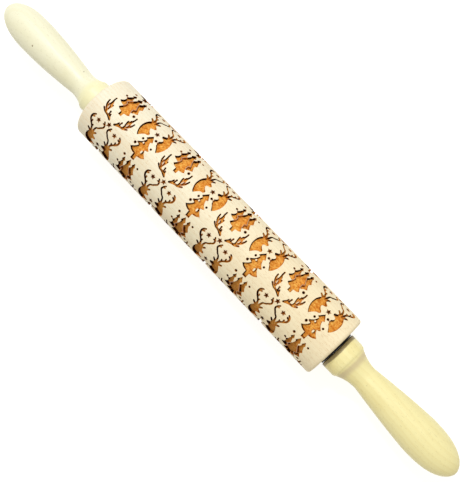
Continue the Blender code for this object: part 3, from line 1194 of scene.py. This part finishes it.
def new_material(name):
    """A material with a Principled shader, its nodes, and its own place coordinates."""
    material = bpy.data.materials.get(name) or bpy.data.materials.new(name)
    material.use_nodes = True
    material.node_tree.nodes.clear()
    nodes = Nodes(material.node_tree)
    nodes.shader = nodes.add("BsdfPrincipled")
    nodes.add("OutputMaterial", {"Surface": nodes.shader.outputs[0]})
    return material, nodes, nodes.get("TexCoord", None, "Object")


def finish(nodes, tone, roughness, height, strength, distance, rest=None):
    """Fill a material's shader: its colour, its roughness, its bump and what else it has."""
    sockets = {"Height": height, "Strength": strength, "Distance": distance}
    relief = nodes.get("Bump", sockets, "Normal")
    filled = {"Base Color": tone, "Roughness": roughness, "Normal": relief, **(rest or {})}
    for name, value in filled.items():
        nodes.put(nodes.shader.inputs[name], value)


BARREL_RINGS = 2.6 * MM
HANDLE_RINGS, HANDLE_WANDER = 3.4 * MM, 4 * MM
HEARTS = {"left": (0, 20 * MM, -35 * MM), "right": (0, -30 * MM, 20 * MM)}
COVE_BLUR = 1.0 * MM
BAND_WANDER = 0.4 * MM


def beech(settings):
    """Sanded beech: faint year rings, fine fibres and short darker dashes."""
    material, nodes, place = new_material("beech")
    grain = nodes.effect("Wood grain", {"Place": place, "Ring Width": BARREL_RINGS})
    flecks = nodes.effect("Wood flecks", {"Place": place})["Mask"]
    speckle = nodes.noise(place, roughness=0.7, scale=1300)
    along = nodes.part(place, "X")
    tone = nodes.stain(settings.left_end, settings.wood, along, -BARREL_END, BARREL_END)
    tone = nodes.tint(tone, settings.ring, grain["Rings"], 0.25)
    tone = nodes.stain(tone, settings.ring, speckle, 0.52, 0.75, 0.4)
    tone = nodes.stain(tone, settings.ring, grain["Clouds"], 0.4, 0.75, 0.35)
    tone = nodes.stain(tone, settings.ring, grain["Fibres"], 0.5, 0.85, 0.35)
    tone = nodes.tint(tone, settings.fleck, flecks, 0.5)
    tone = nodes.stain(tone, settings.umber, nodes.stored("soot"), 0.1, 0.6)
    roughness = nodes.ramp(grain["Fibres"], 0.2, 0.8, 0.5, 0.64)
    height = nodes.maths("ADD", grain["Fine Fibres"], nodes.maths("MULTIPLY", flecks, -0.5))
    finish(nodes, tone, roughness, height, 0.35, 0.03 * MM)
    return material


def burnt_pocket(settings):
    """Wood that a burner cut away: toasted floors, with soot and painted shadow in corners and by walls.
    """
    material, nodes, place = new_material("burnt_pocket")
    grain = nodes.effect("Wood grain", {"Place": place, "Ring Width": BARREL_RINGS})
    patches = nodes.noise(nodes.stretched(place, 260, 520), detail=4, roughness=0.6)
    mottle = nodes.noise(place, roughness=0.6, scale=850)
    tone = nodes.stain(settings.toasted, settings.burnt, patches, 0.35, 0.7)
    tone = nodes.stain(tone, settings.gold, mottle, 0.52, 0.7, 0.85)
    tone = nodes.stain(tone, settings.streak, mottle, 0.5, 0.32, 0.9)
    tone = nodes.tint(tone, settings.burnt, grain["Rings"], 0.3)
    tone = nodes.stain(tone, settings.wall, nodes.stored("rise"), 0.1, 0.8)
    # Painted shade: floors on the -Y side, away from the key lamp, are mixed towards brown, and their
    # soot and painted shadow grow darker there
    across = nodes.part(place, "Y")
    painted_shade_side = nodes.ramp(across, -0.35 * BARREL_RADIUS, -0.95 * BARREL_RADIUS, 0, 0.75)
    tone = nodes.mix(painted_shade_side, tone, settings.brown)
    ragged = nodes.maths("ADD", nodes.stored("soot"), nodes.ramp(patches, 0.3, 0.7, -0.12, 0.12))
    ragged = nodes.maths("MULTIPLY", ragged, nodes.ramp(painted_shade_side, 0, 0.75, 1, 1.5))
    tone = nodes.stain(tone, settings.umber, ragged, 0.1, 0.42)
    tone = nodes.stain(tone, settings.char, ragged, 0.26, 0.62)
    roughness = nodes.ramp(patches, 0.2, 0.8, 0.75, 0.9)
    height = nodes.maths("ADD", patches, nodes.maths("MULTIPLY", grain["Fine Fibres"], 0.5))
    finish(nodes, tone, roughness, height, 0.5, 0.1 * MM, {"Specular IOR Level": 0.04})
    return material


def pale_wood(settings, side, face):
    """Waxed pale wood with faint streaks along the handle, and painted shadow in a band beside the
    washer.
    """
    wood, streak, band, cove, cove_start, cove_end = (
        getattr(settings, f"{side}_{name}")
        for name in ("wood", "streak", "band", "cove", "cove_start", "cove_end")
    )
    material, nodes, place = new_material(f"{side}_pale_wood")
    grain = nodes.effect("Wood grain", {
        "Place": place, "Heart": HEARTS[side], "Ring Width": HANDLE_RINGS,
        "Ring Wander": HANDLE_WANDER,
    })
    flecks = nodes.effect("Wood flecks", {"Place": place, "Rarity": 0.66})["Mask"]
    tone = nodes.tint(wood, streak, grain["Rings"], 0.2)
    tone = nodes.stain(tone, streak, grain["Clouds"], 0.45, 0.75, 0.5)
    tone = nodes.stain(tone, streak, grain["Fibres"], 0.5, 0.85, 0.4)
    tone = nodes.tint(tone, settings.mark, flecks, 0.25)
    for spot, strength in MARKS[side]:
        mask = nodes.effect("Small mark", {"Place": place, "Spot": spot})["Mask"]
        tone = nodes.tint(tone, settings.mark, mask, strength)
    # Painted shadow: a band beside the washer where the barrel's end shades the collar, darkest at the
    # face
    wander = nodes.ramp(grain["Clouds"], 0.3, 0.7, -BAND_WANDER, BAND_WANDER)
    along = nodes.maths("ADD", nodes.maths("ABSOLUTE", nodes.part(place, "X")), wander)
    tone = nodes.mix(
        nodes.ramp(along, face + band * 0.85, face + band * 1.25, 1, 0), tone, settings.band
    )
    deep = [level * 0.35 for level in settings.band]
    tone = nodes.mix(nodes.ramp(along, face, face + band * 0.5, 0.7, 0), tone, deep)
    # On the right this tone is painted shade in the hollow, which faces away from the key lamp
    first, last = face + cove_start, face + cove_end
    start = nodes.ramp(along, first - COVE_BLUR, first + COVE_BLUR, 0, 0.6)
    end = nodes.ramp(along, last - 2 * COVE_BLUR, last + 2 * COVE_BLUR, 1, 0)
    tone = nodes.mix(nodes.maths("MULTIPLY", start, end), tone, cove)
    roughness = nodes.ramp(grain["Fibres"], 0.2, 0.8, 0.4, 0.52)
    wax = {"Coat Weight": 0.1, "Coat Roughness": 0.3}
    finish(nodes, tone, roughness, grain["Fine Fibres"], 0.25, 0.02 * MM, wax)
    return material


def drawn_steel(settings):
    """Drawn steel with fine scratches along the rod."""
    material, nodes, place = new_material("drawn_steel")
    scratches = nodes.noise(nodes.stretched(place, 120, 9000))
    tarnish = nodes.noise(place, scale=260)
    dull = [level * 0.72 for level in settings.steel]
    tone = nodes.stain(settings.steel, dull, tarnish, 0.45, 0.75, 0.5)
    roughness = nodes.ramp(scratches, 0.2, 0.8, 0.24, 0.42)
    finish(nodes, tone, roughness, scratches, 0.2, 0.01 * MM, {"Metallic": 1.0})
    return material


def moulded_nylon(name, base, gloss):
    """Slightly clouded nylon with a fine moulded texture."""
    material, nodes, place = new_material(name)
    clouds = nodes.noise(place, detail=2, scale=220)
    texture = nodes.noise(place, detail=2, scale=6000)
    warm = [level * share for level, share in zip(base, (0.97, 0.93, 0.84))]
    tone = nodes.stain(base, warm, clouds, 0.35, 0.7)
    roughness = nodes.ramp(texture, 0.2, 0.8, 0.42, 0.55)
    finish(nodes, tone, roughness, texture, 0.15, 0.01 * MM, {"Specular IOR Level": gloss})
    return material


# The stage

KEY_PLACE = (-0.4, 0.42, 1.2)
KEY_SIZE = 0.25
WHITE = (1, 1, 1)
SKY_TINT = (1, 0.95, 0.81)
FLOOR_TONE = (0.6, 0.6, 0.6)
FLOOR_GLOW = 0.74
SENSOR_WIDTH = 36
CLIP_START = 0.01


def seen_directly(nodes):
    """1 for what the camera sees, also in a reflection or through glass."""
    path = nodes.add("LightPath").outputs
    seen = nodes.maths("MAXIMUM", path["Is Camera Ray"], path["Is Glossy Ray"])
    return nodes.maths("MAXIMUM", seen, path["Is Transmission Ray"])


def pale_floor():
    """A white floor that stays white to the camera and keeps the pin's shadow."""
    material = bpy.data.materials.get("pale_floor") or bpy.data.materials.new("pale_floor")
    material.use_nodes = True
    material.node_tree.nodes.clear()
    nodes = Nodes(material.node_tree)
    matt = nodes.get("BsdfDiffuse", {"Color": FLOOR_TONE})
    glow = nodes.get("Emission", {"Color": WHITE, "Strength": FLOOR_GLOW})
    dark = nodes.get("Emission", {"Color": (0, 0, 0), "Strength": 0.0})
    added = nodes.get("MixShader", {0: seen_directly(nodes), 1: dark, 2: glow})
    nodes.add("OutputMaterial", {"Surface": nodes.get("AddShader", {0: matt, 1: added})})
    return material


def light_sky(strength):
    """Even light from all round, in front of a white background."""
    world = bpy.data.worlds.new("studio")
    bpy.context.scene.world = world
    world.use_nodes = True
    world.node_tree.nodes.clear()
    nodes = Nodes(world.node_tree)
    seen = seen_directly(nodes)
    level = nodes.ramp(seen, 0, 1, strength, 1.0)
    sky = {"Color": nodes.mix(seen, SKY_TINT, WHITE), "Strength": level}
    nodes.add("OutputWorld", {"Surface": nodes.get("Background", sky)})


def hang_lamp(name, place, aim, size, power):
    """A soft square lamp that faces a place."""
    lamp = bpy.data.lights.new(name, "AREA")
    lamp.shape = "SQUARE"
    lamp.size = size
    lamp.energy = power
    fixture = fresh(name, lamp)
    fixture.location = place
    fixture.rotation_euler = (Vector(aim) - Vector(place)).to_track_quat("-Z", "Y").to_euler()


class PIN_OT_stage(bpy.types.Operator):
    """Set up the floor, the lamps and the camera"""

    bl_idname = "rolling_pin.stage"
    bl_label = "Stage"

    def execute(self, context):
        settings = context.scene.pin_stage
        half = settings.floor_size / 2
        mesh = bpy.data.meshes.new("floor")
        corners = [(-half, -half, 0), (half, -half, 0), (half, half, 0), (-half, half, 0)]
        mesh.from_pydata(corners, [], [(0, 1, 2, 3)])
        mesh.materials.append(pale_floor())
        fresh("floor", mesh)
        light_sky(settings.sky_strength)
        hang_lamp("key", KEY_PLACE, (0, 0, AXIS_HEIGHT), KEY_SIZE, settings.key_power)

        camera = bpy.data.cameras.new("camera")
        camera.lens = settings.camera_lens
        camera.sensor_width = SENSOR_WIDTH
        camera.clip_start = CLIP_START
        viewer = fresh("camera", camera)
        place = Vector((settings.camera_place, 0, settings.camera_height))
        tilt = Matrix.Rotation(settings.camera_tilt, 4, "Y")
        turn = Matrix.Rotation(settings.camera_turn, 4, "Z")
        viewer.matrix_world = Matrix.Translation(place) @ tilt @ turn
        context.scene.camera = viewer
        context.scene.view_settings.view_transform = "Standard"
        return {"FINISHED"}


class PIN_PT_panel(bpy.types.Panel):
    bl_label = "Rolling pin"
    bl_idname = "PIN_PT_panel"
    bl_space_type = "VIEW_3D"
    bl_region_type = "UI"
    bl_category = "Rolling pin"

    def draw(self, context):
        for operator, holder in PARTS:
            box = self.layout.box()
            box.operator(operator.bl_idname)
            settings = getattr(context.scene, holder)
            for name in settings.__annotations__:
                box.prop(settings, name)


PARTS = (
    (PIN_OT_stage, "pin_stage"),
    (PIN_OT_barrel, "pin_barrel"),
    (PIN_OT_handles, "pin_handles"),
    (PIN_OT_fittings, "pin_fittings"),
)
SETTINGS = {
    "pin_stage": StageSettings,
    "pin_barrel": BarrelSettings,
    "pin_handles": HandleSettings,
    "pin_fittings": FittingSettings,
}
CLASSES = (*SETTINGS.values(), *(operator for operator, _ in PARTS), PIN_PT_panel)


def register():
    for cls in CLASSES:
        bpy.utils.register_class(cls)
    for holder, settings in SETTINGS.items():
        setattr(bpy.types.Scene, holder, PointerProperty(type=settings))


def unregister():
    for holder in SETTINGS:
        delattr(bpy.types.Scene, holder)
    for cls in reversed(CLASSES):
        bpy.utils.unregister_class(cls)


def main():
    register()
    bpy.ops.rolling_pin.stage()
    bpy.ops.rolling_pin.barrel()
    bpy.ops.rolling_pin.handles()
    bpy.ops.rolling_pin.fittings()


if __name__ == "__main__":
    main()
